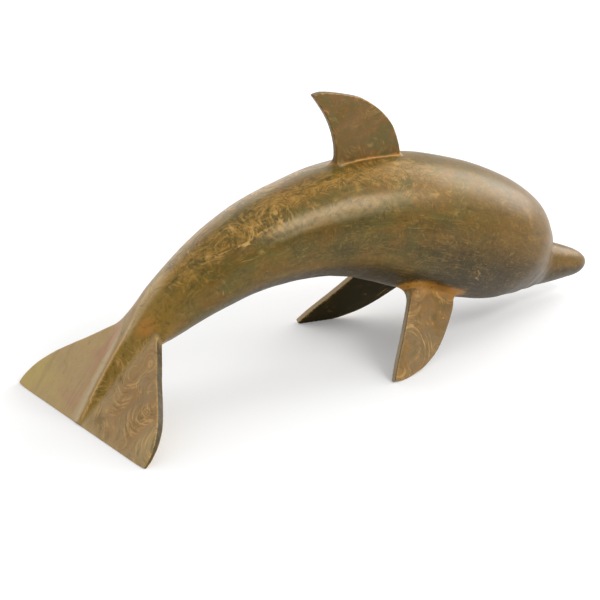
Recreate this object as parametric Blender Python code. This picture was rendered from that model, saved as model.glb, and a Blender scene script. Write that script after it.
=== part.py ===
"""A leaping dolphin figurine, cast as one piece.

It stands on the straight trailing edge of its fluke and on the lower edges of its two
pectoral fins. +X points to the beak, +Y to the animal's left, +Z up. The origin is the
centre of the footprint, on the floor. Lengths below are in millimetres, measured from the
fluke's two tips along X and Z. The tips are lifted a little: the floor is at FLOOR_Z.
"""

import math

import bmesh
import bpy
from mathutils import Vector

for old in list(bpy.data.objects):
    bpy.data.objects.remove(old, do_unlink=True)

MM = 0.001

# ---- driving dimensions -------------------------------------------------------------------
REAR_X = -1.2  # the fluke's upper face at the height of its tips
BEAK_X = 457.6  # tip of the beak
FLOOR_Z = -1.0

RING_SIDES = 40  # sides of each body section
BODY_RINGS = 56  # sections along the body, closer together at the beak

# Body sections: x and z of the centre, half width, half height, squareness.
# Squareness 2 is an ellipse, and towards 1 it becomes the diamond of the fluke's ridge.
BODY = (
    (-1.6, -4.0, 3.0, 1.6, 1.05),
    (6.3, 5.6, 5.6, 3.8, 1.05),
    (14.3, 13.9, 8.6, 7.2, 1.05),
    (22.4, 22.8, 10.6, 9.6, 1.05),
    (31.4, 33.0, 12.4, 11.3, 1.05),
    (38.6, 41.5, 14.9, 12.2, 1.05),
    (47.8, 52.0, 19.2, 12.8, 1.10),
    (54.8, 59.0, 21.4, 14.2, 1.35),
    (64.0, 66.6, 22.0, 18.2, 1.75),
    (76.0, 75.0, 22.6, 21.8, 2.00),
    (93.0, 84.6, 25.2, 25.2, 2.00),
    (113.3, 94.3, 28.8, 28.8, 2.00),
    (135.8, 102.9, 32.0, 32.0, 2.00),
    (159.0, 108.6, 35.2, 35.2, 2.00),
    (183.0, 111.5, 37.9, 37.9, 2.00),
    (208.5, 112.5, 41.4, 41.4, 2.00),
    (236.0, 110.0, 45.1, 45.1, 2.00),
    (262.5, 104.2, 49.0, 49.0, 2.00),
    (290.0, 95.4, 51.8, 51.8, 2.00),
    (322.5, 82.4, 52.3, 52.3, 2.00),
    (357.8, 66.5, 49.2, 49.2, 2.00),
    (378.0, 55.2, 44.2, 44.2, 2.00),
    (394.0, 43.3, 34.2, 34.2, 2.00),
    (403.5, 35.9, 24.6, 24.6, 2.00),
    (411.5, 32.0, 18.5, 18.5, 2.00),
    (424.5, 28.7, 15.5, 15.5, 2.00),
    (437.3, 25.6, 12.6, 12.6, 2.00),
    (448.0, 22.9, 9.6, 9.6, 2.00),
    (454.6, 21.5, 5.8, 5.8, 2.00),
    (BEAK_X, 20.8, 0.0, 0.0, 2.00),
)

# Fluke: a plate whose flat upper face rises from the floor towards the beak. Its lower face
# lies further below the upper one up the slope, until the plate has its full thickness.
FLUKE_TILT = math.radians(50.0)
FLUKE_THIN = 2.6  # thickness at the trailing edge
FLUKE_THICK = 7.0  # full thickness
FLUKE_THIN_RUN = 30.0  # distance up the slope to the full thickness
# Outline of one half of the upper face: distance up the slope, half span. The trailing edge
# rises to the tips, and its middle goes on into the floor.
FLUKE_HALF = (
    (96.0, 8.0),
    (86.0, 19.0),
    (81.4, 23.6),
    (70.1, 35.3),
    (58.0, 47.5),
    (46.1, 60.6),
    (33.5, 73.2),
    (20.3, 83.1),
    (9.3, 87.8),
    (3.3, 88.8),
    (0.3, 88.7),
)
FLUKE_TRAILING = (
    (0.3, 88.7),
    (-0.3, 85.0),
    (-0.9, 78.0),
    (-1.3, 68.0),
    (-1.7, 50.0),
    (-2.4, 0.0),
)

# Dorsal fin: one flat plate on the middle plane. Outline: x, z.
DORSAL_THICKNESS = 5.2
DORSAL = (
    (223.6, 140.0),
    (223.8, 158.0),
    (223.4, 170.0),
    (220.6, 182.6),
    (216.0, 194.0),
    (209.6, 205.0),
    (202.6, 215.4),
    (209.8, 216.0),
    (218.7, 214.2),
    (232.4, 209.8),
    (246.8, 203.9),
    (258.8, 195.2),
    (268.2, 185.6),
    (274.5, 176.5),
    (278.6, 166.0),
    (281.4, 154.2),
    (282.6, 138.0),
)

# Pectoral fins: two flat plates, mirror images, each from a tip on the floor up into the belly.
PECTORAL_THICKNESS = 5.2
PECTORAL_TIP = (233.6, -65.7, 0.0)
PECTORAL_NORMAL = (0.218, -0.872, 0.438)  # of the right fin's outer face
# Outline in the plate: forward along the floor, up the slope.
PECTORAL = (
    (-0.6, 0.2),
    (6.6, 9.8),
    (14.8, 19.4),
    (22.8, 28.4),
    (31.6, 39.0),
    (41.1, 51.0),
    (52.0, 66.0),
    (66.0, 76.0),
    (88.6, 66.0),
    (88.6, 54.0),
    (86.2, 42.0),
    (80.8, 32.2),
    (70.6, 22.2),
    (59.4, 13.1),
    (48.0, 6.1),
    (38.0, 0.4),
    (31.0, -1.6),
    (16.0, -1.9),
    (5.0, -0.9),
)

EDGE_ROUND = 1.0  # of the plates' long edges
FLOOR_CUT = 40.0


# ---- helpers ------------------------------------------------------------------------------
def place(x, y, z):
    """From millimetres off the fluke's tips to the part's own metres."""
    foot = REAR_X + FLOOR_Z / math.tan(FLUKE_TILT)
    return Vector(((x - (foot + BEAK_X) / 2) * MM, y * MM, (z - FLOOR_Z) * MM))


def smooth_value(knots, values, t):
    """Monotone cubic through the values, so that a section never swells past its neighbours."""
    n = len(knots)
    steps = [knots[i + 1] - knots[i] for i in range(n - 1)]
    slopes = [(values[i + 1] - values[i]) / steps[i] for i in range(n - 1)]
    tangents = [slopes[0]]
    for i in range(1, n - 1):
        if slopes[i - 1] * slopes[i] <= 0:
            tangents.append(0.0)
        else:
            a = 2 * steps[i] + steps[i - 1]
            b = steps[i] + 2 * steps[i - 1]
            tangents.append((a + b) / (a / slopes[i - 1] + b / slopes[i]))
    tangents.append(slopes[-1])
    i = max(j for j in range(n - 1) if knots[j] <= t or j == 0)
    h = steps[i]
    s = min(max((t - knots[i]) / h, 0.0), 1.0)
    return (
        (2 * s**3 - 3 * s**2 + 1) * values[i]
        + (s**3 - 2 * s**2 + s) * h * tangents[i]
        + (-2 * s**3 + 3 * s**2) * values[i + 1]
        + (s**3 - s**2) * h * tangents[i + 1]
    )


def smooth_curve(points, per_span):
    """Centripetal-like rounding of an open outline: each corner is passed through, not cut."""
    out = []
    n = len(points)
    for i in range(n - 1):
        p0 = points[max(i - 1, 0)]
        p1, p2 = points[i], points[i + 1]
        p3 = points[min(i + 2, n - 1)]
        for k in range(per_span):
            t = k / per_span
            out.append(
                tuple(
                    0.5
                    * (
                        2 * b
                        + (c - a) * t
                        + (2 * a - 5 * b + 4 * c - d) * t**2
                        + (3 * b - a - 3 * c + d) * t**3
                    )
                    for a, b, c, d in zip(p0, p1, p2, p3)
                )
            )
    out.append(tuple(points[-1]))
    return out


def object_from(name, bm):
    bmesh.ops.recalc_face_normals(bm, faces=bm.faces)
    mesh = bpy.data.meshes.new(name)
    bm.to_mesh(mesh)
    bm.free()
    obj = bpy.data.objects.new(name, mesh)
    bpy.context.scene.collection.objects.link(obj)
    return obj


def helper(obj):
    obj.hide_render = True
    obj.display_type = "WIRE"
    return obj


def body():
    xs, zs, widths, heights, powers = zip(*BODY)
    knots = [0.0]
    for i in range(1, len(BODY)):
        knots.append(knots[-1] + math.hypot(xs[i] - xs[i - 1], zs[i] - zs[i - 1]))
    length = knots[-1]
    bm = bmesh.new()
    rings = []
    for i in range(BODY_RINGS):
        t = length * math.sin(0.5 * math.pi * (i / BODY_RINGS) ** 0.92)
        x = smooth_value(knots, xs, t)
        z = smooth_value(knots, zs, t)
        dx = smooth_value(knots, xs, t + 1.0) - smooth_value(knots, xs, t - 1.0)
        dz = smooth_value(knots, zs, t + 1.0) - smooth_value(knots, zs, t - 1.0)
        run = math.hypot(dx, dz)
        up = (-dz / run, dx / run)
        a = smooth_value(knots, widths, t)
        b = smooth_value(knots, heights, t)
        power = smooth_value(knots, powers, t)
        ring = []
        for k in range(RING_SIDES):
            angle = 2 * math.pi * k / RING_SIDES
            c, s = math.cos(angle), math.sin(angle)
            y = a * math.copysign(abs(c) ** (2 / power), c)
            h = b * math.copysign(abs(s) ** (2 / power), s)
            ring.append(bm.verts.new(place(x + h * up[0], y, z + h * up[1])))
        rings.append(ring)
    for first, second in zip(rings, rings[1:]):
        for k in range(RING_SIDES):
            m = (k + 1) % RING_SIDES
            bm.faces.new((first[k], first[m], second[m], second[k]))
    bm.faces.new(list(reversed(rings[0])))
    tip = bm.verts.new(place(BEAK_X, 0.0, zs[-1]))
    for k in range(RING_SIDES):
        bm.faces.new((rings[-1][k], rings[-1][(k + 1) % RING_SIDES], tip))
    return object_from("dolphin", bm)


def plate(name, outline, under, over, where):
    """A plate between two faces, its long edges rounded. under and over give each face's
    height at a point of the outline."""
    bm = bmesh.new()
    low = [bm.verts.new(where(p[0], p[1], under(p[0]))) for p in outline]
    high = [bm.verts.new(where(p[0], p[1], over(p[0]))) for p in outline]
    n = len(outline)
    bm.faces.new(list(reversed(high)))
    bottom = bm.faces.new(low)
    rims = []
    for i in range(n):
        j = (i + 1) % n
        bm.faces.new((low[i], low[j], high[j], high[i]))
        rims += [(low[i], low[j]), (high[i], high[j])]
    edges = [bm.edges.get(pair) for pair in rims]
    bmesh.ops.bevel(
        bm,
        geom=edges,
        offset=EDGE_ROUND * MM,
        segments=2,
        profile=0.5,
        affect="EDGES",
        clamp_overlap=True,
    )
    return helper(object_from(name, bm))


def fluke():
    half = smooth_curve(FLUKE_HALF, 2)[:-1] + smooth_curve(FLUKE_TRAILING, 2)[:-1]
    outline = half + [FLUKE_TRAILING[-1]] + [(u, -v) for u, v in reversed(half)]
    c, s = math.cos(FLUKE_TILT), math.sin(FLUKE_TILT)

    def where(u, v, w):
        return place(REAR_X + u * c - w * s, v, u * s + w * c)

    def under(u):
        grown = min(max(u / FLUKE_THIN_RUN, -0.1), 1.0)
        return -(FLUKE_THIN + (FLUKE_THICK - FLUKE_THIN) * grown)

    return plate("fluke_plate", outline, under, lambda u: 0.0, where)


def dorsal():
    rear, front = DORSAL[:7], DORSAL[6:]
    outline = smooth_curve(rear, 2)[:-1] + smooth_curve(front, 2)

    def where(x, z, w):
        return place(x, -w, z)

    half = DORSAL_THICKNESS / 2
    return plate("dorsal_plate", outline, lambda x: -half, lambda x: half, where)


def pectoral(side):
    """side is -1 for the right fin and 1 for the left."""
    normal = Vector(PECTORAL_NORMAL).normalized()
    forward = Vector((-normal.y, normal.x, 0.0)).normalized()
    slope = forward.cross(-normal).normalized()
    if slope.z < 0:
        slope = -slope
    tip = Vector(PECTORAL_TIP)
    rear, root, front = PECTORAL[:7], PECTORAL[7:9], PECTORAL[9:]
    outline = smooth_curve(rear, 1) + list(root) + smooth_curve(front, 2)

    def where(f, u, w):
        p = tip + forward * f + slope * u + normal * w
        return place(p.x, -side * p.y, p.z)

    name = "pectoral_plate_left" if side > 0 else "pectoral_plate_right"
    half = PECTORAL_THICKNESS / 2
    return plate(name, outline, lambda f: -half, lambda f: half, where)


def floor_block():
    bm = bmesh.new()
    bmesh.ops.create_cube(bm, size=1.0)
    size = Vector((BEAK_X * 1.4, BEAK_X, FLOOR_CUT)) * MM
    for v in bm.verts:
        v.co = Vector((v.co.x * size.x, v.co.y * size.y, (v.co.z - 0.5) * size.z))
    return helper(object_from("floor_block", bm))


def combine(target, other, operation):
    modifier = target.modifiers.new(f"{operation.lower()}_{other.name}", "BOOLEAN")
    modifier.operation = operation
    modifier.solver = "EXACT"
    modifier.object = other


def patinated_brass():
    material = bpy.data.materials.new("patinated_brass")
    material.use_nodes = True
    shader = material.node_tree.nodes["Principled BSDF"]
    shader.inputs["Base Color"].default_value = (0.22, 0.15, 0.055, 1.0)
    shader.inputs["Metallic"].default_value = 0.55
    shader.inputs["Roughness"].default_value = 0.36
    return material


# ---- assembly -----------------------------------------------------------------------------
dolphin = body()
for piece in (fluke(), dorsal(), pectoral(-1), pectoral(1)):
    combine(dolphin, piece, "UNION")
combine(dolphin, floor_block(), "DIFFERENCE")
dolphin.data.materials.append(patinated_brass())
for face in dolphin.data.polygons:
    face.use_smooth = True
bpy.context.view_layer.update()
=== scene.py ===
"""Looks of the dolphin figurine: one casting in patinated, lacquered brass.

The CAD solid is copied, remeshed finely and drawn onto the exact shape that its outlines
describe, with the small fillets where the fins grow out of the body. Lengths inside the
shape functions are millimetres, measured as in the CAD model: from the fluke's tips along X
and Z, and from the middle plane along Y.
"""

import math

import bmesh
import bpy
import numpy as np
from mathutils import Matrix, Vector


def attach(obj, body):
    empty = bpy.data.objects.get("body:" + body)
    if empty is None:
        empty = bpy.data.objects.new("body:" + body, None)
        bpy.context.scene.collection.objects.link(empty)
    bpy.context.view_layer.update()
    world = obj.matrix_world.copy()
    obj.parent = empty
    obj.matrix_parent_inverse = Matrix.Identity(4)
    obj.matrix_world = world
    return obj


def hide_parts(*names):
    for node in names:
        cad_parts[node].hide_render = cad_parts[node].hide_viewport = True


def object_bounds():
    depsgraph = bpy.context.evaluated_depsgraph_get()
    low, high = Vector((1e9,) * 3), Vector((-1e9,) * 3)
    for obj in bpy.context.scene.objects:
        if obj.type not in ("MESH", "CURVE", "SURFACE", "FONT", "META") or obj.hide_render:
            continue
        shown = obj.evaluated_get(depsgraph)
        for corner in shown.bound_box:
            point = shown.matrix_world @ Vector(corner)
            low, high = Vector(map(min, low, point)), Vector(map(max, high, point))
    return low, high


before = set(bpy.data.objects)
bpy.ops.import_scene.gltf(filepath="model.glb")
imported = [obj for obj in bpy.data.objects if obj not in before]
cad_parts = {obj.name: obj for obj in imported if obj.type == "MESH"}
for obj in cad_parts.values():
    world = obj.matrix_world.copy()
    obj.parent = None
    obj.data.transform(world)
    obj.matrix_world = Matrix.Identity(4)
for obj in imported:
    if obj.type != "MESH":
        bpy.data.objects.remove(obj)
cad_low, cad_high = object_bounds()
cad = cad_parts["dolphin"]

MM = 0.001

# ---- the CAD model's dimensions, in millimetres ---------------------------------------------
REAR_X = -1.2
BEAK_X = 457.6
FLOOR_Z = -1.0

# Body sections: x and z of the centre, half width, half height, squareness.
BODY = (
    (-1.6, -4.0, 3.0, 1.6, 1.05),
    (6.3, 5.6, 5.6, 3.8, 1.05),
    (14.3, 13.9, 8.6, 7.2, 1.05),
    (22.4, 22.8, 10.6, 9.6, 1.05),
    (31.4, 33.0, 12.4, 11.3, 1.05),
    (38.6, 41.5, 14.9, 12.2, 1.05),
    (47.8, 52.0, 19.2, 12.8, 1.10),
    (54.8, 59.0, 21.4, 14.2, 1.35),
    (64.0, 66.6, 22.0, 18.2, 1.75),
    (76.0, 75.0, 22.6, 21.8, 2.00),
    (93.0, 84.6, 25.2, 25.2, 2.00),
    (113.3, 94.3, 28.8, 28.8, 2.00),
    (135.8, 102.9, 32.0, 32.0, 2.00),
    (159.0, 108.6, 35.2, 35.2, 2.00),
    (183.0, 111.5, 37.9, 37.9, 2.00),
    (208.5, 112.5, 41.4, 41.4, 2.00),
    (236.0, 110.0, 45.1, 45.1, 2.00),
    (262.5, 104.2, 49.0, 49.0, 2.00),
    (290.0, 95.4, 51.8, 51.8, 2.00),
    (322.5, 82.4, 52.3, 52.3, 2.00),
    (357.8, 66.5, 49.2, 49.2, 2.00),
    (378.0, 55.2, 44.2, 44.2, 2.00),
    (394.0, 43.3, 34.2, 34.2, 2.00),
    (403.5, 35.9, 24.6, 24.6, 2.00),
    (411.5, 32.0, 18.5, 18.5, 2.00),
    (424.5, 28.7, 15.5, 15.5, 2.00),
    (437.3, 25.6, 12.6, 12.6, 2.00),
    (448.0, 22.9, 9.6, 9.6, 2.00),
    (454.6, 21.5, 5.8, 5.8, 2.00),
    (BEAK_X, 20.8, 0.0, 0.0, 2.00),
)
NOSE_KNOT = 27  # from this section on, the squared radius is what runs smoothly

FLUKE_TILT = math.radians(50.0)
ORIGIN = ((REAR_X + FLOOR_Z / math.tan(FLUKE_TILT) + BEAK_X) / 2, 0.0, FLOOR_Z)
FLUKE_THIN, FLUKE_THICK, FLUKE_THIN_RUN = 2.6, 7.0, 30.0
FLUKE_HALF = (
    (96.0, 8.0),
    (86.0, 19.0),
    (81.4, 23.6),
    (70.1, 35.3),
    (58.0, 47.5),
    (46.1, 60.6),
    (33.5, 73.2),
    (20.3, 83.1),
    (9.3, 87.8),
    (3.3, 88.8),
    (0.3, 88.7),
)
FLUKE_TRAILING = (
    (0.3, 88.7),
    (-0.3, 85.0),
    (-0.9, 78.0),
    (-1.3, 68.0),
    (-1.7, 50.0),
    (-2.4, 0.0),
)

DORSAL_THICKNESS = 5.2
DORSAL = (
    (223.6, 140.0),
    (223.8, 158.0),
    (223.4, 170.0),
    (220.6, 182.6),
    (216.0, 194.0),
    (209.6, 205.0),
    (202.6, 215.4),
    (209.8, 216.0),
    (218.7, 214.2),
    (232.4, 209.8),
    (246.8, 203.9),
    (258.8, 195.2),
    (268.2, 185.6),
    (274.5, 176.5),
    (278.6, 166.0),
    (281.4, 154.2),
    (282.6, 138.0),
)

PECTORAL_THICKNESS = 5.2
PECTORAL_TIP = (233.6, -65.7, 0.0)
PECTORAL_NORMAL = (0.218, -0.872, 0.438)
PECTORAL = (
    (-0.6, 0.2),
    (6.6, 9.8),
    (14.8, 19.4),
    (22.8, 28.4),
    (31.6, 39.0),
    (41.1, 51.0),
    (52.0, 66.0),
    (66.0, 76.0),
    (88.6, 66.0),
    (88.6, 54.0),
    (86.2, 42.0),
    (80.8, 32.2),
    (70.6, 22.2),
    (59.4, 13.1),
    (48.5, 6.4),
    (38.5, 2.5),
    (31.5, 0.4),
    (24.5, -0.7),
    (16.0, -1.7),
    (8.0, -1.8),
    (4.0, -0.9),
)

EDGE_ROUND = 1.0
CREST_ROUND = 0.7  # how much the fluke's ridge is worn off
# Size of the fillets where a fin grows out of the body: along its faces, and at the ends
# of its root, where the casting's fillets are fuller.
FLUKE_FILLET = 1.6, 7.5, 13.0  # right of the ridge, left of it, ends of the root
DORSAL_FILLET = 2.4, 9.0
PECTORAL_FILLET = 6.5, 15.0


# ---- shape ----------------------------------------------------------------------------------
def monotone(knots, values, t):
    """Monotone cubic through the values at the knots."""
    knots, values = np.asarray(knots, float), np.asarray(values, float)
    h = np.diff(knots)
    s = np.diff(values) / h
    m = np.empty(len(knots))
    m[0], m[-1] = s[0], s[-1]
    a, b = 2 * h[1:] + h[:-1], h[1:] + 2 * h[:-1]
    turning = s[:-1] * s[1:] <= 0
    safe = np.where(turning, 1.0, s[:-1]), np.where(turning, 1.0, s[1:])
    m[1:-1] = np.where(turning, 0.0, (a + b) / (a / safe[0] + b / safe[1]))
    i = np.clip(np.searchsorted(knots, t, side="right") - 1, 0, len(h) - 1)
    u = np.clip((t - knots[i]) / h[i], 0.0, 1.0)
    return (
        (2 * u**3 - 3 * u**2 + 1) * values[i]
        + (u**3 - 2 * u**2 + u) * h[i] * m[i]
        + (-2 * u**3 + 3 * u**2) * values[i + 1]
        + (u**3 - u**2) * h[i] * m[i + 1]
    )


def smooth_curve(points, per_span):
    """Catmull-Rom curve through the points of an open outline."""
    p = np.asarray(points, float)
    out = []
    for i in range(len(p) - 1):
        a, b, c, d = p[max(i - 1, 0)], p[i], p[i + 1], p[min(i + 2, len(p) - 1)]
        for t in np.arange(per_span) / per_span:
            out.append(
                0.5
                * (
                    2 * b
                    + (c - a) * t
                    + (2 * a - 5 * b + 4 * c - d) * t**2
                    + (3 * b - a - 3 * c + d) * t**3
                )
            )
    out.append(p[-1])
    return np.array(out)


class Spine:
    """The body's loft, tabled along its centre line."""

    def __init__(self, sections, nose):
        x, z, a, b, n = np.array(sections, float).T
        knots = np.concatenate([[0.0], np.cumsum(np.hypot(np.diff(x), np.diff(z)))])
        self.length = knots[-1]
        self.knots = knots
        t = np.linspace(0.0, self.length, 2401)
        self.t = t
        self.x, self.z = monotone(knots, x, t), monotone(knots, z, t)
        dx = monotone(knots, x, t + 1.0) - monotone(knots, x, t - 1.0)
        dz = monotone(knots, z, t + 1.0) - monotone(knots, z, t - 1.0)
        run = np.hypot(dx, dz)
        self.tx, self.tz = dx / run, dz / run
        self.kx, self.kz = np.gradient(self.tx, t), np.gradient(self.tz, t)
        blunt = t > knots[nose]
        self.a = np.where(
            blunt, np.sqrt(monotone(knots, a**2, t)), monotone(knots, a, t)
        )
        self.b = np.where(
            blunt, np.sqrt(monotone(knots, b**2, t)), monotone(knots, b, t)
        )
        self.a, self.b = np.maximum(self.a, 0.05), np.maximum(self.b, 0.05)
        self.n = monotone(knots, n, t)

    def at(self, name, t):
        return np.interp(t, self.t, getattr(self, name))

    def nearest(self, x, z):
        """The station of each point, from the nearest of the tabled ones."""
        step = 12
        sx, sz = self.x[::step], self.z[::step]
        best = np.empty(len(x), int)
        for i in range(0, len(x), 20000):
            part = slice(i, i + 20000)
            far = (x[part, None] - sx) ** 2 + (z[part, None] - sz) ** 2
            best[part] = far.argmin(1)
        return self.t[::step][best]

    def local(self, p, t, rounds=2):
        """Station, side and height of each point in its section's plane, and how far it is past the end."""
        for _ in range(rounds):
            ex, ez = p[:, 0] - self.at("x", t), p[:, 2] - self.at("z", t)
            along = ex * self.at("tx", t) + ez * self.at("tz", t)
            bend = 1.0 - ex * self.at("kx", t) - ez * self.at("kz", t)
            t = np.clip(t + along / np.maximum(bend, 0.3), 0.0, self.length)
        ex, ez = p[:, 0] - self.at("x", t), p[:, 2] - self.at("z", t)
        tx, tz = self.at("tx", t), self.at("tz", t)
        past = np.where(t >= self.length, np.maximum(ex * tx + ez * tz, 0.0), 0.0)
        return t, p[:, 1], -ex * tz + ez * tx, past

    def distance(self, p, t):
        t, y, h, past = self.local(p, t)
        a, b, n = self.at("a", t), self.at("b", t), self.at("n", t)
        soft = CREST_ROUND * np.clip((2.0 - n) / 0.6, 0.0, 1.0)
        y = np.sqrt(y**2 + soft**2) - 0.6 * soft
        h = np.sqrt(h**2 + (0.3 * soft) ** 2)
        u, v = np.maximum(y / a, 1e-6), np.maximum(h / b, 1e-6)
        g = np.maximum((u**n + v**n) ** (1 / n), 1e-3)
        slope = g ** (1 - n) * np.hypot(u ** (n - 1) / a, v ** (n - 1) / b)
        d = (g - 1.0) / np.maximum(slope, 1e-4)
        return np.where(past > 0, np.hypot(np.maximum(d, 0.0), past), d), t


def polygon_distance(p, outline):
    """Signed distance of points in a plane from a closed outline, negative inside."""
    px, py = p[:, 0], p[:, 1]
    best = np.full(len(p), 1e12)
    inside = np.zeros(len(p), bool)
    for (ax, ay), (bx, by) in zip(outline, np.roll(outline, -1, axis=0)):
        ex, ey = bx - ax, by - ay
        run = ex * ex + ey * ey
        if run < 1e-12:
            continue
        wx, wy = px - ax, py - ay
        k = np.clip((wx * ex + wy * ey) / run, 0.0, 1.0)
        best = np.minimum(best, (wx - k * ex) ** 2 + (wy - k * ey) ** 2)
        if ey != 0.0:
            inside ^= ((ay > py) != (by > py)) & (px < ex * (py - ay) / ey + ax)
    return np.where(inside, -1.0, 1.0) * np.sqrt(best)


class Plate:
    """A flat fin: an outline in its own plane, between two faces, with rounded edges."""

    def __init__(self, name, outline, origin, axes, faces):
        self.name = name
        self.outline = outline
        self.origin, self.axes = np.array(origin, float), np.array(axes, float)
        self.faces = faces
        corners = outline @ self.axes[:2] + self.origin
        self.low, self.high = corners.min(0) - 14.0, corners.max(0) + 14.0

    def local(self, p):
        return (p - self.origin) @ self.axes.T

    def distance(self, p):
        d = np.full(len(p), 1e3)
        near = ((p > self.low) & (p < self.high)).all(1)
        q = self.local(p[near])
        low, high = self.faces(q[:, 0])
        across = np.abs(q[:, 2] - (low + high) / 2) - (high - low) / 2
        side = polygon_distance(q[:, :2], self.outline)
        across, side = across + EDGE_ROUND, side + EDGE_ROUND
        d[near] = (
            np.minimum(np.maximum(across, side), 0.0)
            + np.hypot(np.maximum(across, 0.0), np.maximum(side, 0.0))
            - EDGE_ROUND
        )
        return d


def smooth_union(a, b, k):
    h = np.maximum(k - np.abs(a - b), 0.0) / k
    return np.minimum(a, b) - h * h * k / 4


def unit(v):
    v = np.asarray(v, float)
    return v / np.linalg.norm(v)


def make_plates():
    fine = 8
    half = np.concatenate(
        [smooth_curve(FLUKE_HALF, fine)[:-1], smooth_curve(FLUKE_TRAILING, fine)]
    )
    outline = np.concatenate([half, half[-2::-1] * (1, -1)])
    c, s = math.cos(FLUKE_TILT), math.sin(FLUKE_TILT)

    def fluke_faces(u):
        grown = np.clip(u / FLUKE_THIN_RUN, -0.1, 1.0)
        return -(FLUKE_THIN + (FLUKE_THICK - FLUKE_THIN) * grown), np.zeros_like(u)

    fluke = Plate(
        "fluke",
        outline,
        (REAR_X, 0, 0),
        ((c, 0, s), (0, 1, 0), (-s, 0, c)),
        fluke_faces,
    )

    def even(thickness):
        return lambda u: (
            np.full_like(u, -thickness / 2),
            np.full_like(u, thickness / 2),
        )

    outline = np.concatenate(
        [smooth_curve(DORSAL[:7], fine)[:-1], smooth_curve(DORSAL[6:], fine)]
    )
    dorsal = Plate(
        "dorsal",
        outline,
        (0, 0, 0),
        ((1, 0, 0), (0, 0, 1), (0, -1, 0)),
        even(DORSAL_THICKNESS),
    )

    outline = np.concatenate(
        [
            smooth_curve(PECTORAL[:7], fine),
            np.array(PECTORAL[7:9], float),
            smooth_curve(PECTORAL[9:], fine),
        ]
    )
    normal = unit(PECTORAL_NORMAL)
    forward = unit((-normal[1], normal[0], 0))
    slope = unit(np.cross(forward, -normal))
    slope = slope if slope[2] > 0 else -slope
    pectorals = []
    for side in (1, -1):
        mirror = np.array((1, side, 1))
        pectorals.append(
            Plate(
                "pectoral_right" if side > 0 else "pectoral_left",
                outline,
                np.array(PECTORAL_TIP) * mirror,
                np.array((forward, slope, normal)) * mirror,
                even(PECTORAL_THICKNESS),
            )
        )
    return fluke, dorsal, *pectorals


SPINE = Spine(BODY, NOSE_KNOT)
PLATES = make_plates()


def ease(low, high, x):
    """0 at low and 1 at high, smoothly between."""
    u = np.clip((x - low) / (high - low), 0.0, 1.0)
    return u * u * (3 - 2 * u)


def fillet_of(plate, p):
    """Size of the plate's fillet at each point."""
    if plate.name == "fluke":
        right, left, ends = FLUKE_FILLET
        place = plate.local(p)
        along = right + (left - right) * ease(-3.0, 3.0, place[:, 1])
        left_side = ease(-12.0, 12.0, place[:, 1])
        share = ease(78.0 - 10.0 * left_side, 92.0 - 4.0 * left_side, place[:, 0])
        ends = 8.0 + (ends - 8.0) * left_side
    elif plate.name == "dorsal":
        along, ends = DORSAL_FILLET
        share = ease(234.0, 222.0, p[:, 0]) + 0.25 * ease(274.0, 284.0, p[:, 0])
    else:
        along, ends = PECTORAL_FILLET
        share = ease(62.0, 46.0, plate.local(p)[:, 0])
    return along + (ends - along) * share


def field(p, t):
    """Signed distance from the figurine's surface, with its fillets."""
    d, _ = SPINE.distance(p, t)
    for plate in PLATES:
        d = smooth_union(d, plate.distance(p), fillet_of(plate, p))
    return d


def slope_of(p, t, step=0.05):
    """The field's gradient."""
    grad = np.empty_like(p)
    for axis in range(3):
        move = np.zeros(3)
        move[axis] = step
        grad[:, axis] = (field(p + move, t) - field(p - move, t)) / (2 * step)
    return grad


def quick_slope_of(p, t, d, step=0.05):
    """The same from one side, for points that are still moving."""
    grad = np.empty_like(p)
    for axis in range(3):
        move = np.zeros(3)
        move[axis] = step
        grad[:, axis] = (field(p + move, t) - d) / step
    return grad


def settle(p, rounds):
    """Draws points onto the surface, and those under the floor up to it."""
    t = SPINE.nearest(p[:, 0], p[:, 2])
    for _ in range(rounds):
        d = field(p, t)
        grad = quick_slope_of(p, t, d)
        size = np.maximum((grad**2).sum(1), 0.04)
        move = -(d / size)[:, None] * grad
        reach = np.linalg.norm(move, axis=1)
        move *= np.minimum(1.0, 1.2 / np.maximum(reach, 1e-9))[:, None]
        flat = (FLOOR_Z - p[:, 2] > d) | ((p[:, 2] <= FLOOR_Z + 0.02) & (d < -0.15))
        move[flat] = 0.0
        p = p + move
        p[:, 2] = np.where(flat, FLOOR_Z, np.maximum(p[:, 2], FLOOR_Z))
    low, high = (np.array(c) / MM + ORIGIN for c in (cad_low, cad_high))
    return np.clip(p, low, high)


def to_mm(me):
    co = np.empty(len(me.vertices) * 3)
    me.vertices.foreach_get("co", co)
    return co.reshape(-1, 3) / MM + ORIGIN


def set_mm(me, p):
    co = (p - ORIGIN) * MM
    me.vertices.foreach_set("co", co.astype(np.float32).ravel())
    me.update()


def evaluated_copy(obj, name):
    bpy.context.view_layer.update()
    graph = bpy.context.evaluated_depsgraph_get()
    return bpy.data.meshes.new_from_object(
        obj.evaluated_get(graph), preserve_all_data_layers=False, depsgraph=graph
    )


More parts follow.
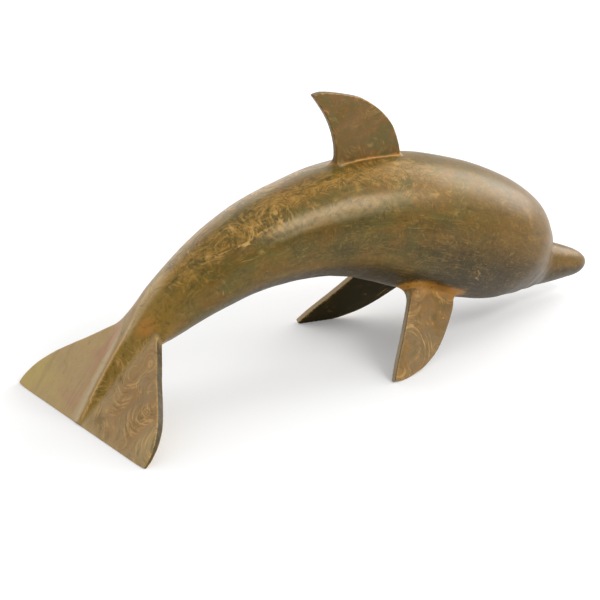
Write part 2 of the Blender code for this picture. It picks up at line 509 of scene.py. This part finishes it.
def make_casting():
    """The casting's fine mesh."""
    bm = bmesh.new()
    bm.from_mesh(cad.data)
    bmesh.ops.remove_doubles(bm, verts=bm.verts, dist=1e-6)
    rough = bpy.data.meshes.new("casting_rough")
    bm.to_mesh(rough)
    bm.free()
    obj = bpy.data.objects.new("casting", rough)
    bpy.context.scene.collection.objects.link(obj)
    remesh = obj.modifiers.new("fine", "REMESH")
    remesh.mode = "VOXEL"
    remesh.voxel_size = 0.95 * MM
    me = evaluated_copy(obj, "casting")
    obj.modifiers.clear()
    obj.data = me
    set_mm(me, settle(to_mm(me), 3))
    thin = obj.modifiers.new("thin", "DECIMATE")
    thin.decimate_type = "COLLAPSE"
    triangles = sum(len(f.vertices) - 2 for f in me.polygons)
    thin.ratio = min(1.0, 186000 / triangles)
    me = evaluated_copy(obj, "casting")
    obj.modifiers.clear()
    obj.data = me
    set_mm(me, settle(to_mm(me), 2))
    return obj


casting = make_casting()
me = casting.data
points = to_mm(me)
stations = SPINE.nearest(points[:, 0], points[:, 2])
normals = slope_of(points, stations)
normals[(points[:, 2] < FLOOR_Z + 0.02) & (field(points, stations) < -0.3)] = (0, 0, -1)
normals /= np.maximum(np.linalg.norm(normals, axis=1), 1e-9)[:, None]
me.polygons.foreach_set("use_smooth", [True] * len(me.polygons))
me.normals_split_custom_set_from_vertices(normals.astype(np.float32).tolist())


def put(name, values):
    values = np.asarray(values, np.float32)
    kind = "FLOAT" if values.ndim == 1 else "FLOAT_VECTOR"
    key = "value" if values.ndim == 1 else "vector"
    me.attributes.new(name, kind, "POINT").data.foreach_set(key, values.ravel())


# ---- where each colour of the patina lies, and where light and shade are painted into it -----
# Everything here is a soft mask over the surface. The material breaks the masks up with noise.
t, y, h, _ = SPINE.local(points, stations)
body_gap, _ = SPINE.distance(points, stations)
plate_gaps = [plate.distance(points) for plate in PLATES]
plate_places = [plate.local(points) for plate in PLATES]
fluke_p, dorsal_p, right_p, left_p = plate_places
half_width, half_height = SPINE.at("a", t), SPINE.at("b", t)
squareness = SPINE.at("n", t)
radius = np.maximum((half_width + half_height) / 2, 4.0)
# 0 on the animal's right, 90 along its back, 180 on its left, -90 under its belly
angle = np.degrees(np.arctan2(h, -y))

gaps = np.stack([body_gap, *plate_gaps])
shares = np.exp(-np.clip(np.abs(gaps), 0.0, 30.0) / 1.2)
shares /= shares.sum(0)
on_body, on_fluke, on_dorsal, on_right, on_left = shares
zone = np.abs(gaps).argmin(0)

flow = np.stack([t, y, h], 1)
for i, place in enumerate(plate_places):
    flow[zone == i + 1] = place[zone == i + 1] + (700.0 * (i + 1), 0.0, 0.0)
put("flow", flow)


def gap_of(a, a0):
    return (a - a0 + 180.0) % 360.0 - 180.0


def spot(t0, a0, long, wide, tilt=0.0):
    """A soft oval on the body: station and angle of its centre, half sizes in mm, tilt."""
    x, s = t - t0, radius * np.radians(gap_of(angle, a0))
    c, n = math.cos(math.radians(tilt)), math.sin(math.radians(tilt))
    return np.exp(-(((x * c + s * n) / long) ** 2) - ((s * c - x * n) / wide) ** 2)


def flat_spot(place, u0, v0, long, wide, tilt=0.0):
    """The same on a fin's plate."""
    x, s = place[:, 0] - u0, place[:, 1] - v0
    c, n = math.cos(math.radians(tilt)), math.sin(math.radians(tilt))
    return np.exp(-(((x * c + s * n) / long) ** 2) - ((s * c - x * n) / wide) ** 2)


def near_line(px, py, line, width):
    best = np.full(len(px), 1e12)
    for (ax, ay), (bx, by) in zip(line, line[1:]):
        ex, ey = bx - ax, by - ay
        wx, wy = px - ax, py - ay
        k = np.clip((wx * ex + wy * ey) / max(ex * ex + ey * ey, 1e-9), 0.0, 1.0)
        best = np.minimum(best, (wx - k * ex) ** 2 + (wy - k * ey) ** 2)
    return np.exp(-best / width**2)


def stroke(line, width):
    """A soft line on the body through stations and angles."""
    mean = radius[np.abs(t - line[len(line) // 2][0]).argmin()]
    middle = line[len(line) // 2][1]
    sx = mean * np.radians(gap_of(angle, middle))
    points_mm = [(a, mean * math.radians(b - middle)) for a, b in line]
    return near_line(t, sx, points_mm, width)


def band(low0, low1, high0, high1, x):
    """0 outside low0..high1, 1 between low1 and high0."""
    return ease(low0, low1, x) * (1.0 - ease(high0, high1, x))


# how far along the ridge on the fluke, and its two scooped facets
ridge = on_body * (1.0 - ease(76.0, 88.0, t)) * (h > 0)
crest = ridge * np.exp(-((y / 1.5) ** 2)) * (1.0 - ease(70.0, 84.0, t))
facet_right, facet_left = ridge * (y < -0.6), ridge * (y > 0.6)
# -90 under the belly to 90 along the back, the same on both sides
rise = np.where(angle > 90.0, 180.0 - angle, np.where(angle < -90.0, -180.0 - angle, angle))
under = ease(-25.0, -65.0, rise)

across = [normals @ plate.axes[2] for plate in PLATES]
rim = sum(
    share * (1.0 - ease(0.45, 0.8, np.abs(n)))
    for share, n in zip(shares[1:], across)
)
edge = np.zeros(len(t))
for plate, place, share in zip(PLATES, plate_places, shares[1:]):
    low_face, high_face = plate.faces(place[:, 0])
    depth = np.abs(place[:, 2] - (low_face + high_face) / 2) - (high_face - low_face) / 2
    near = zone == PLATES.index(plate) + 1
    side = np.full(len(t), -50.0)
    side[near] = polygon_distance(place[near, :2], plate.outline)
    edge += share * near * np.exp(-(depth**2 + side**2) / 1.3**2)


def root(i, width):
    return np.exp(-(body_gap**2 + plate_gaps[i] ** 2) / width**2)


fluke_root, dorsal_root = root(0, 2.6), root(1, 1.6)
right_root, left_root = root(2, 6.0), root(3, 6.0)
right_face, left_face = on_right * (across[2] > 0.3), on_left * (across[3] > 0.3)
inner_faces = on_right * (across[2] < -0.3) + on_left * (across[3] < -0.3)
u, v = fluke_p[:, 0], fluke_p[:, 1]
upper = on_fluke * (across[0] > 0.3)
left_half, right_half = upper * ease(4, 9, v), upper * ease(-4, -9, v)
root_end = ease(-20.0, 0.0, right_p[:, 0] - 60.0)

tan = (
    1.0 * upper
    + 0.85 * (on_fluke - upper)
    # partly a painted highlight: the top of the tail stock and back made lighter where it catches the light, over
    # its tan patina
    + on_body * 0.75 * band(60, 84, 104, 140, t) * ease(60, 86, rise)
    + on_body * 0.3 * band(60, 84, 110, 170, t) * ease(72, 90, rise)
)
peach = (
    1.0 * right_face
    + 0.95 * left_face
    + right_half * (0.5 + 0.35 * flat_spot(fluke_p, 30, -45, 40, 22))
    + 0.3 * left_half * flat_spot(fluke_p, 20, 45, 40, 30)
)
red = (
    1.0 * left_half * near_line(u, v, [(78, 21), (44, 22), (18, 20), (6, 18)], 4.6)
    + 0.35 * right_half * near_line(u, v, [(80, -26), (60, -40)], 5.0)
    + 0.3 * on_dorsal
)
straw = 0.8 * on_fluke * ease(50, 84, np.abs(v)) * ease(50, 20, u) * np.where(v > 0, 1.0, 0.4)
grey = (
    0.9 * left_half * near_line(u, v, [(84, 16), (50, 13), (28, 11), (0, 9)], 4.0)
    + 0.9 * right_half * near_line(u, v, [(80, -21), (46, -12.5), (22, -9.5), (4, -6)], 2.6)
    + 0.25 * facet_left
    + on_body * 0.22 * band(404, 414, 424, 438, t)
    # painted highlights in the next three lines: a pale reflection along the top of the back, a pale band along the
    # upper flank, and a pale patch on the upper head
    + on_body * 0.45 * band(60, 90, 200, 262, t) * ease(74, 90, rise)
    + on_body * 0.56 * band(165, 205, 260, 330, t) * band(14, 26, 38, 50, rise)
    + on_body * 0.3 * band(325, 360, 400, 425, t) * band(26, 38, 54, 70, rise)
    + 0.25 * rim * (on_fluke + on_dorsal)
    + rim * (0.8 * on_right + on_left)
)
dark = (
    # painted shade: the fins' inner faces, turned down towards the body
    1.0 * inner_faces
    + 0.85 * rim * on_fluke
    + 0.35 * rim * (on_dorsal + on_right)
    + 0.3 * right_half * flat_spot(fluke_p, 10, -36, 14, 30)
    # painted shade in the next four lines: the belly, the lower flank of the head and the whole lower body darkened
    + 1.0 * on_body * under * ease(120, 200, t)
    + 0.7 * on_body * under
    + 0.5 * on_body * ease(290, 380, t) * ease(32, -10, rise)
    + 0.3 * on_body * ease(4, -22, rise)
    + 0.34 * right_face
    # painted shade: a darker band along the flank below the painted highlight
    + 0.3 * on_body * band(-25, -5, 15, 30, rise) * band(180, 220, 330, 380, t)
)
honey = (
    on_body * (1.0 - ease(80, 160, t)) * (0.35 + 0.65 * ease(-25, 50, rise))
    + on_body * 0.3 * band(110, 150, 320, 400, t) * ease(15, 60, rise)
    + 0.6 * ridge
    + 0.1 * on_dorsal
)
ochre = on_body * (
    0.9 * band(175, 215, 285, 335, t) * band(50, 63, 76, 88, rise)
    + 1.0 * spot(151, 62, 14, 6, -20)
    + 0.9 * spot(138, 70, 10, 6, 10)
    + 0.8 * spot(128, 78, 9, 5)
    + 0.7 * spot(131, 44, 16, 6, -25)
    + 0.55 * band(110, 150, 200, 230, t) * band(30, 56, 80, 90, rise)
    + 0.8 * spot(181, 62, 16, 6, -30)
    + 0.7 * spot(190, 44, 20, 6)
    + 0.5 * spot(300, 55, 30, 16)
    # the far side
    + 0.8 * spot(170, 140, 16, 8, 25)
    + 0.7 * spot(134, 120, 12, 7, 15)
    + 0.6 * spot(352, 128, 22, 12, -12)
    + 0.5 * spot(398, 160, 14, 9, 30)
)
orange = (
    1.0 * right_root
    + 1.0 * left_root
    + 1.0 * on_body * np.exp(-((plate_gaps[2] / 9.0) ** 2)) * (zone == 0)
    + 1.0 * on_body * np.exp(-((plate_gaps[3] / 9.0) ** 2)) * (zone == 0)
    + 0.9 * on_body * spot(88, 46, 8, 9, 60)
    + 0.4 * on_body * spot(92, 134, 6, 9, -70)
    + 0.8 * dorsal_root
    + 0.9 * np.exp(-(((points[:, 0] - 223) / 6) ** 2) - (points[:, 1] / 6) ** 2 - (plate_gaps[1] / 6) ** 2) * on_body
    + 0.45 * on_dorsal * ease(160, 148, points[:, 2])
    + 0.35 * on_body * (spot(415, 36, 4, 9) + spot(410, 150, 5, 10))
    + 0.3 * edge * on_dorsal
)
brown = (
    1.0 * on_dorsal
    + on_body * 0.8 * ease(330, 420, t)
    + on_body * 0.4 * band(250, 290, 500, 520, t) * band(-20, 0, 40, 60, rise)
)
gold = (
    0.95 * crest
    + 0.45 * dorsal_root
    + 0.7 * edge * on_fluke
    + 0.5 * edge * (1.0 - on_fluke)
    + 0.4 * fluke_root * ease(20, 50, u)
    + on_body
    * (
        0.55 * stroke([(174, 73), (178, 63), (186, 55), (196, 51)], 1.6)
        + 0.55 * stroke([(175, 40), (185, 42), (196, 43), (208, 45)], 1.6)
        + 0.6 * stroke([(150, 58), (156, 49), (168, 44), (178, 39)], 1.3)
        + 0.6 * stroke([(201, 60), (205, 56), (207, 50)], 1.2)
        + 0.65 * stroke([(376, -20), (380, -23), (379, -28), (384, -30)], 1.1)
        + 0.6 * stroke([(181, 128), (192, 134), (204, 139), (214, 137)], 1.8)
        + 0.5 * stroke([(150, 122), (160, 131), (174, 136)], 1.3)
        + 0.5 * stroke([(330, 150), (344, 156), (352, 167)], 1.4)
    )
)
arcs = (
    0.9 * right_half
    + 0.15 * left_half
    + 0.8 * (on_fluke - upper)
    + 0.75 * right_face
    + 1.0 * left_face
    + 0.3 * inner_faces
    + 0.3 * on_dorsal
    + 0.7 * facet_right
    + 0.3 * facet_left
    + on_body * 0.45 * band(90, 130, 180, 235, t) * ease(-10, 40, rise)
    + on_body * 0.4 * band(180, 230, 300, 360, t) * band(30, 55, 80, 90, rise)
    + on_body * 0.1
) * (1.0 - 0.8 * np.clip(rim, 0.0, 1.0))
streaks = on_body * (
    0.2
    + 0.4 * band(150, 190, 300, 370, t) * band(-60, -30, 25, 45, rise)
    + 0.12 * band(300, 350, 440, 460, t)
) + 0.35 * left_half
for name, mask in (
    ("tan", tan),
    ("peach", peach),
    ("straw", straw),
    ("red", red),
    ("grey", grey),
    ("dark", dark),
    ("honey", honey),
    ("ochre", ochre),
    ("orange", orange),
    ("brown", brown),
    ("gold", gold),
    ("arcs", arcs),
    ("streaks", streaks),
    ("matt", on_body * under + inner_faces + 0.6 * facet_left),
    ("plate", np.where(zone > 0, 1.0, 0.0)),
):
    put(name, np.clip(mask, 0.0, 1.0))

# ---- material -------------------------------------------------------------------------------
material = bpy.data.materials.new("patinated_brass")
material.use_nodes = True
tree = material.node_tree
shader = tree.nodes["Principled BSDF"]


def connect(value, socket):
    if isinstance(value, bpy.types.NodeSocket):
        tree.links.new(value, socket)
    elif value is not None:
        socket.default_value = value


def math_node(operation, a, b=None, c=None, clamp=False):
    node = tree.nodes.new("ShaderNodeMath")
    node.operation, node.use_clamp = operation, clamp
    for value, socket in zip((a, b, c), node.inputs):
        connect(value, socket)
    return node.outputs[0]


def vector_node(operation, a, b):
    node = tree.nodes.new("ShaderNodeVectorMath")
    node.operation = operation
    connect(a, node.inputs[0])
    connect(b, node.inputs["Scale"] if operation == "SCALE" else node.inputs[1])
    return node.outputs[0]


def noise(vector, size, detail=2.0, rough=0.5, distortion=0.0, colour=False):
    """Fractal noise whose features are about size millimetres across."""
    node = tree.nodes.new("ShaderNodeTexNoise")
    connect(vector, node.inputs["Vector"])
    node.inputs["Scale"].default_value = 1.0 / size
    node.inputs["Detail"].default_value = detail
    node.inputs["Roughness"].default_value = rough
    node.inputs["Distortion"].default_value = distortion
    return node.outputs["Color" if colour else "Fac"]


def spread(value, low, high, to_low=0.0, to_high=1.0):
    node = tree.nodes.new("ShaderNodeMapRange")
    node.interpolation_type = "SMOOTHSTEP"
    for socket, number in zip(
        node.inputs[:5], (value, low, high, to_low, to_high)
    ):
        connect(number, socket)
    return node.outputs["Result"]


def mask(name):
    node = tree.nodes.new("ShaderNodeAttribute")
    node.attribute_name = name
    return node.outputs["Fac"]


def blend(share, a, b):
    node = tree.nodes.new("ShaderNodeMix")
    node.data_type = "RGBA"
    connect(share, node.inputs[0])
    for colour, socket in ((a, node.inputs[6]), (b, node.inputs[7])):
        connect((*colour, 1.0) if isinstance(colour, tuple) else colour, socket)
    return node.outputs[2]


def both(*values):
    out = values[0]
    for value in values[1:]:
        out = math_node("MULTIPLY", out, value)
    return out


def ragged(name, breaking, amount=0.9, low=0.35, high=0.75):
    """A mask whose border is broken by noise."""
    centred = math_node("SUBTRACT", breaking, 0.5)
    moved = math_node("MULTIPLY_ADD", centred, amount, mask(name))
    inside = spread(mask(name), 0.0, 0.15)
    return both(spread(moved, low, high), inside)


def flecked(name, field, contrast, low, high):
    """Flecks that get denser as the mask rises."""
    centred = math_node("SUBTRACT", field, 0.5)
    value = math_node("MULTIPLY_ADD", centred, contrast, both(mask(name), 0.55))
    return both(spread(value, low, high), spread(mask(name), 0.0, 0.4))


OLIVE = (0.116, 0.080, 0.009)
GREEN = (0.098, 0.085, 0.014)
UMBER = (0.155, 0.079, 0.005)
# dark colour for painted shade and for dark patina
DARK_PATINA_AND_SHADE = (0.022, 0.016, 0.004)
HONEY = (0.285, 0.168, 0.026)
DEEP = (0.050, 0.034, 0.005)
STRAW = (0.440, 0.320, 0.095)
TAN = (0.430, 0.292, 0.120)
PEACH = (0.290, 0.152, 0.038)
RED = (0.400, 0.205, 0.115)
SLATE = (0.170, 0.140, 0.080)
GREY = (0.360, 0.260, 0.135)
OCHRE = (0.370, 0.190, 0.028)
ORANGE = (0.430, 0.190, 0.025)
BROWN = (0.132, 0.067, 0.003)
GOLD = (0.580, 0.345, 0.105)

attribute = tree.nodes.new("ShaderNodeAttribute")
attribute.attribute_name = "flow"
plain = attribute.outputs["Vector"]


def pushed(vector, size, amount, detail=1.0):
    drift = vector_node("SUBTRACT", noise(vector, size, detail, 0.5, 0.0, True), (0.5,) * 3)
    return vector_node("ADD", vector, vector_node("SCALE", drift, amount))


def rings(vector, cell, pitch, seed, breaking=0.16):
    """Broken nested arcs round scattered centres, as a pad leaves them, fading to their cells' edges."""
    parts = []
    moved = vector_node("ADD", vector, (seed, seed * 0.7, -seed))
    for feature in ("F1", "DISTANCE_TO_EDGE"):
        node = tree.nodes.new("ShaderNodeTexVoronoi")
        node.feature = feature
        connect(moved, node.inputs["Vector"])
        node.inputs["Scale"].default_value = 1.0 / cell
        parts.append(node)
    away = math_node("MULTIPLY", parts[0].outputs["Distance"], cell)
    own = vector_node("SCALE", parts[0].outputs["Color"], 300.0)
    drift = vector_node("ADD", own, vector_node("SCALE", plain, breaking))
    line = tree.nodes.new("ShaderNodeCombineXYZ")
    connect(away, line.inputs["X"])
    place = vector_node("ADD", vector_node("MULTIPLY", drift, (breaking, 1.0, 1.0)), line.outputs[0])
    inside = spread(math_node("MULTIPLY", parts[1].outputs["Distance"], cell), 0.0, 6.0)
    return noise(place, pitch, 2.0, 0.65), inside


swirl = pushed(pushed(plain, 46.0, 34.0), 14.0, 8.0)
rough_swirl = pushed(swirl, 5.0, 6.0, 2.0)
combed = vector_node("MULTIPLY", pushed(plain, 40.0, 9.0), (0.07, 1.0, 1.0))

cloud = noise(swirl, 34.0, 4.0, 0.55)
cloud_b = noise(vector_node("ADD", swirl, (310.0, 40.0, 90.0)), 18.0, 5.0, 0.6)
long_cloud = noise(vector_node("MULTIPLY", swirl, (0.35, 1.0, 1.0)), 11.0, 5.0, 0.6)
mottle = noise(pushed(plain, 5.0, 5.0, 3.0), 6.0, 6.0, 0.62)
wisps = noise(pushed(pushed(plain, 24.0, 30.0), 9.0, 9.0, 2.0), 5.2, 5.0, 0.66)
fleck = noise(pushed(swirl, 3.2, 4.5, 2.0), 2.4, 3.0, 0.6)
patchy = noise(vector_node("ADD", plain, (90.0, 500.0, 20.0)), 16.0, 3.0, 0.5)
patchy_b = noise(vector_node("ADD", plain, (50.0, 10.0, 620.0)), 13.0, 3.0, 0.5)

wide_arcs, wide_inside = rings(pushed(plain, 30.0, 12.0), 40.0, 1.7, 0.0)
more_arcs, more_inside = rings(swirl, 26.0, 1.4, 410.0, 0.22)
curls, curl_inside = rings(rough_swirl, 13.0, 1.2, 230.0, 0.3)
hair = noise(combed, 1.4, 3.0, 0.65)
soft_hair = noise(vector_node("ADD", combed, (7.0, 70.0, 700.0)), 4.0, 2.0, 0.5)

# ground colours
colour = blend(spread(cloud, 0.38, 0.64), OLIVE, UMBER)
colour = blend(both(spread(long_cloud, 0.46, 0.64), 0.75), colour, GREEN)
colour = blend(ragged("brown", mottle, 0.9, 0.2, 0.95), colour, BROWN)
colour = blend(both(ragged("honey", cloud_b, 1.0, 0.1, 0.95), 0.9), colour, HONEY)
colour = blend(both(ragged("tan", mottle, 0.6, 0.1, 0.9), 0.97), colour, TAN)
colour = blend(ragged("straw", mottle, 0.5, 0.1, 0.9), colour, STRAW)
colour = blend(ragged("peach", cloud, 0.9, 0.15, 0.9), colour, PEACH)
# the grey mask: grey patina on the fins and fluke, and painted highlights along the back, the upper flank and the
# head
colour = blend(ragged("grey", mottle, 0.6, 0.2, 1.0), colour, GREY)
colour = blend(both(ragged("red", cloud, 0.7, 0.15, 0.9), 0.75), colour, RED)
# the dark mask: painted shade on the fins' inner faces, the belly, the lower flank and the lower head, and dark
# patina on the rims, a patch of the fluke and the near fin's face
colour = blend(both(ragged("dark", mottle, 0.6, 0.1, 0.95), 0.92), colour, DARK_PATINA_AND_SHADE)
colour = blend(both(ragged("orange", wisps, 1.0, 0.1, 0.8), 0.9), colour, ORANGE)

# darker and lighter wisps in every ground colour
body_share = math_node("SUBTRACT", 1.0, mask("plate"))
fin_share = math_node("MULTIPLY", mask("plate"), spread(mask("matt"), 0.3, 0.0))
feather = math_node("MULTIPLY_ADD", wisps, 0.5, both(more_arcs, 0.5))
fine_feather = math_node("MULTIPLY_ADD", curls, 0.5, both(fleck, 0.5))
colour = blend(both(spread(wisps, 0.48, 0.30), body_share, 0.4), colour, DEEP)
colour = blend(both(spread(cloud, 0.47, 0.35), body_share, 0.3), colour, DEEP)
colour = blend(both(spread(cloud_b, 0.50, 0.34), fin_share, mask("arcs"), 0.6), colour, OLIVE)
colour = blend(both(spread(mottle, 0.46, 0.26), body_share, 0.3), colour, DEEP)
colour = blend(both(flecked("ochre", feather, 4.4, 0.12, 1.0), 0.72), colour, OCHRE)
colour = blend(both(flecked("ochre", fine_feather, 4.4, 0.45, 1.2), 0.3), colour, GOLD)
colour = blend(both(spread(feather, 0.53, 0.66), body_share, 0.34), colour, HONEY)
colour = blend(both(spread(feather, 0.46, 0.34), body_share, 0.38), colour, DEEP)
colour = blend(both(spread(fine_feather, 0.53, 0.66), body_share, 0.26), colour, OCHRE)
colour = blend(both(spread(fine_feather, 0.47, 0.34), body_share, 0.3), colour, DEEP)
colour = blend(both(spread(feather, 0.49, 0.36), mask("peach"), 0.6), colour, SLATE)
colour = blend(both(spread(cloud, 0.54, 0.42), mask("peach"), 0.35), colour, SLATE)
colour = blend(both(spread(feather, 0.52, 0.64), mask("brown"), mask("plate"), 0.3), colour, OCHRE)
colour = blend(both(spread(feather, 0.49, 0.38), mask("brown"), mask("plate"), 0.7), colour, GREEN)
colour = blend(both(spread(cloud_b, 0.50, 0.40), mask("brown"), mask("plate"), 0.6), colour, GREEN)
colour = blend(both(spread(fine_feather, 0.46, 0.34), fin_share, 0.22), colour, OLIVE)

# hairlines of rubbed brass
arc_share = spread(math_node("MULTIPLY_ADD", mask("arcs"), 0.55, patchy), 0.60, 1.0)
colour = blend(both(spread(wide_arcs, 0.51, 0.66), wide_inside, arc_share, 0.62), colour, GOLD)
colour = blend(both(spread(wide_arcs, 0.46, 0.30), wide_inside, arc_share, 0.5), colour, OLIVE)
more_share = spread(math_node("MULTIPLY_ADD", mask("arcs"), 0.5, patchy_b), 0.64, 1.02)
colour = blend(both(spread(more_arcs, 0.53, 0.68), more_inside, more_share, 0.55), colour, GOLD)
curl_share = both(curl_inside, spread(patchy_b, 0.42, 0.62), spread(mask("matt"), 0.5, 0.0))
colour = blend(both(spread(curls, 0.54, 0.68), curl_share, 0.25), colour, GOLD)
colour = blend(both(spread(hair, 0.52, 0.68), mask("streaks"), spread(patchy, 0.34, 0.55), 0.5), colour, HONEY)
colour = blend(both(spread(hair, 0.58, 0.72), mask("streaks"), spread(patchy_b, 0.40, 0.6), 0.45), colour, TAN)
colour = blend(both(spread(soft_hair, 0.5, 0.7), mask("streaks"), 0.22), colour, HONEY)
colour = blend(both(spread(soft_hair, 0.48, 0.3), mask("streaks"), 0.4), colour, DEEP)
colour = blend(both(ragged("gold", feather, 1.8, 0.25, 0.95), 0.8), colour, GOLD)
connect(colour, shader.inputs["Base Color"])

rough = math_node("MULTIPLY_ADD", mottle, 0.16, 0.30)
connect(rough, shader.inputs["Roughness"])
metal = math_node("MULTIPLY_ADD", spread(mottle, 0.35, 0.7), 0.12, 0.14)
connect(metal, shader.inputs["Metallic"])
gloss = math_node("MULTIPLY_ADD", mask("matt"), -0.25, 0.32)
connect(gloss, shader.inputs["Specular IOR Level"])
shader.inputs["Specular Tint"].default_value = (1.0, 0.94, 0.89, 1)
coat = math_node("MULTIPLY_ADD", mask("matt"), -0.14, 0.16)
connect(coat, shader.inputs["Coat Weight"])
shader.inputs["Coat Roughness"].default_value = 0.3

relief = math_node("MULTIPLY_ADD", mottle, 0.5, both(fleck, 0.35))
bump = tree.nodes.new("ShaderNodeBump")
bump.inputs["Strength"].default_value = 0.35
bump.inputs["Distance"].default_value = 0.00022
connect(relief, bump.inputs["Height"])
connect(bump.outputs["Normal"], shader.inputs["Normal"])

me.materials.clear()
me.materials.append(material)

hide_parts("dolphin")
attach(casting, "root")


# ---- studio ---------------------------------------------------------------------------------
def plane(name, size, location, rotation=(0, 0, 0)):
    me = bpy.data.meshes.new(name)
    bm = bmesh.new()
    bmesh.ops.create_grid(bm, x_segments=1, y_segments=1, size=size / 2)
    bm.to_mesh(me)
    bm.free()
    obj = bpy.data.objects.new(name, me)
    obj.location, obj.rotation_euler = location, rotation
    bpy.context.scene.collection.objects.link(obj)
    return obj


def area_light(name, place, target, size, power, colour=(1, 1, 1)):
    data = bpy.data.lights.new(name, "AREA")
    data.shape = "RECTANGLE"
    data.size, data.size_y = size
    data.energy = power
    data.color = colour
    obj = bpy.data.objects.new(name, data)
    obj.location = place
    obj.rotation_euler = (
        (Vector(target) - Vector(place)).to_track_quat("-Z", "Y").to_euler()
    )
    bpy.context.scene.collection.objects.link(obj)
    return obj


floor = plane("floor", 40.0, (0, 0, 0))
floor_material = bpy.data.materials.new("floor")
floor_material.use_nodes = True
floor_shader = floor_material.node_tree.nodes["Principled BSDF"]
floor_shader.inputs["Base Color"].default_value = (0.75, 0.75, 0.75, 1)
floor_shader.inputs["Roughness"].default_value = 0.9
floor_shader.inputs["Specular IOR Level"].default_value = 0.1
floor_shader.inputs["Emission Color"].default_value = (1, 1, 1, 1)
floor_shader.inputs["Emission Strength"].default_value = 0.2
floor.data.materials.append(floor_material)

world = bpy.data.worlds.new("studio")
world.use_nodes = True
nodes, links = world.node_tree.nodes, world.node_tree.links
towards = nodes.new("ShaderNodeTexCoord")
facing = nodes.new("ShaderNodeVectorMath")
facing.operation = "DOT_PRODUCT"
facing.inputs[1].default_value = (-0.55, -0.83, 0.05)
links.new(towards.outputs["Generated"], facing.inputs[0])
fade = nodes.new("ShaderNodeMapRange")
fade.interpolation_type = "SMOOTHSTEP"
for socket, number in zip(fade.inputs[1:5], (0.2, 0.95, 0.84, 0.38)):
    socket.default_value = number
links.new(facing.outputs["Value"], fade.inputs[0])
nodes["Background"].inputs["Color"].default_value = (1, 1, 1, 1)
links.new(fade.outputs["Result"], nodes["Background"].inputs["Strength"])
bpy.context.scene.world = world


def softbox(name, azimuth, elevation, distance, size, radiance):
    """A soft light seen from the figurine at an azimuth, 0 on its right and 90 ahead of it."""
    a, e = math.radians(azimuth), math.radians(elevation)
    away = Vector((math.sin(a) * math.cos(e), -math.cos(a) * math.cos(e), math.sin(e)))
    target = Vector((0.0, 0.0, 0.1))
    area_light(
        name,
        target + away * distance,
        target,
        size,
        radiance * size[0] * size[1] * math.pi,
    )


softbox("ahead", 97.0, 25.0, 1.9, (1.1, 1.3), 4.7)
softbox("side", 30.0, 41.0, 1.9, (1.4, 0.34), 10.5)
softbox("behind", 178.0, 20.0, 2.2, (2.4, 1.5), 1.2)

camera_data = bpy.data.cameras.new("camera")
camera = bpy.data.objects.new("camera", camera_data)
bpy.context.scene.collection.objects.link(camera)
turn, down = math.radians(33.5), math.radians(23.9)
ahead = Vector(
    (
        math.sin(turn) * math.cos(down),
        math.cos(turn) * math.cos(down),
        -math.sin(down),
    )
)
look_at = (Vector((192.75, 0.0, 52.5)) - Vector(ORIGIN)) * MM
camera.location = look_at - ahead * 3.75
camera.rotation_euler = ahead.to_track_quat("-Z", "Y").to_euler()
camera_data.lens = 300.0
camera_data.sensor_width = 36.0
camera_data.sensor_fit = "HORIZONTAL"
bpy.context.scene.camera = camera
bpy.context.scene.view_settings.view_transform = "Standard"
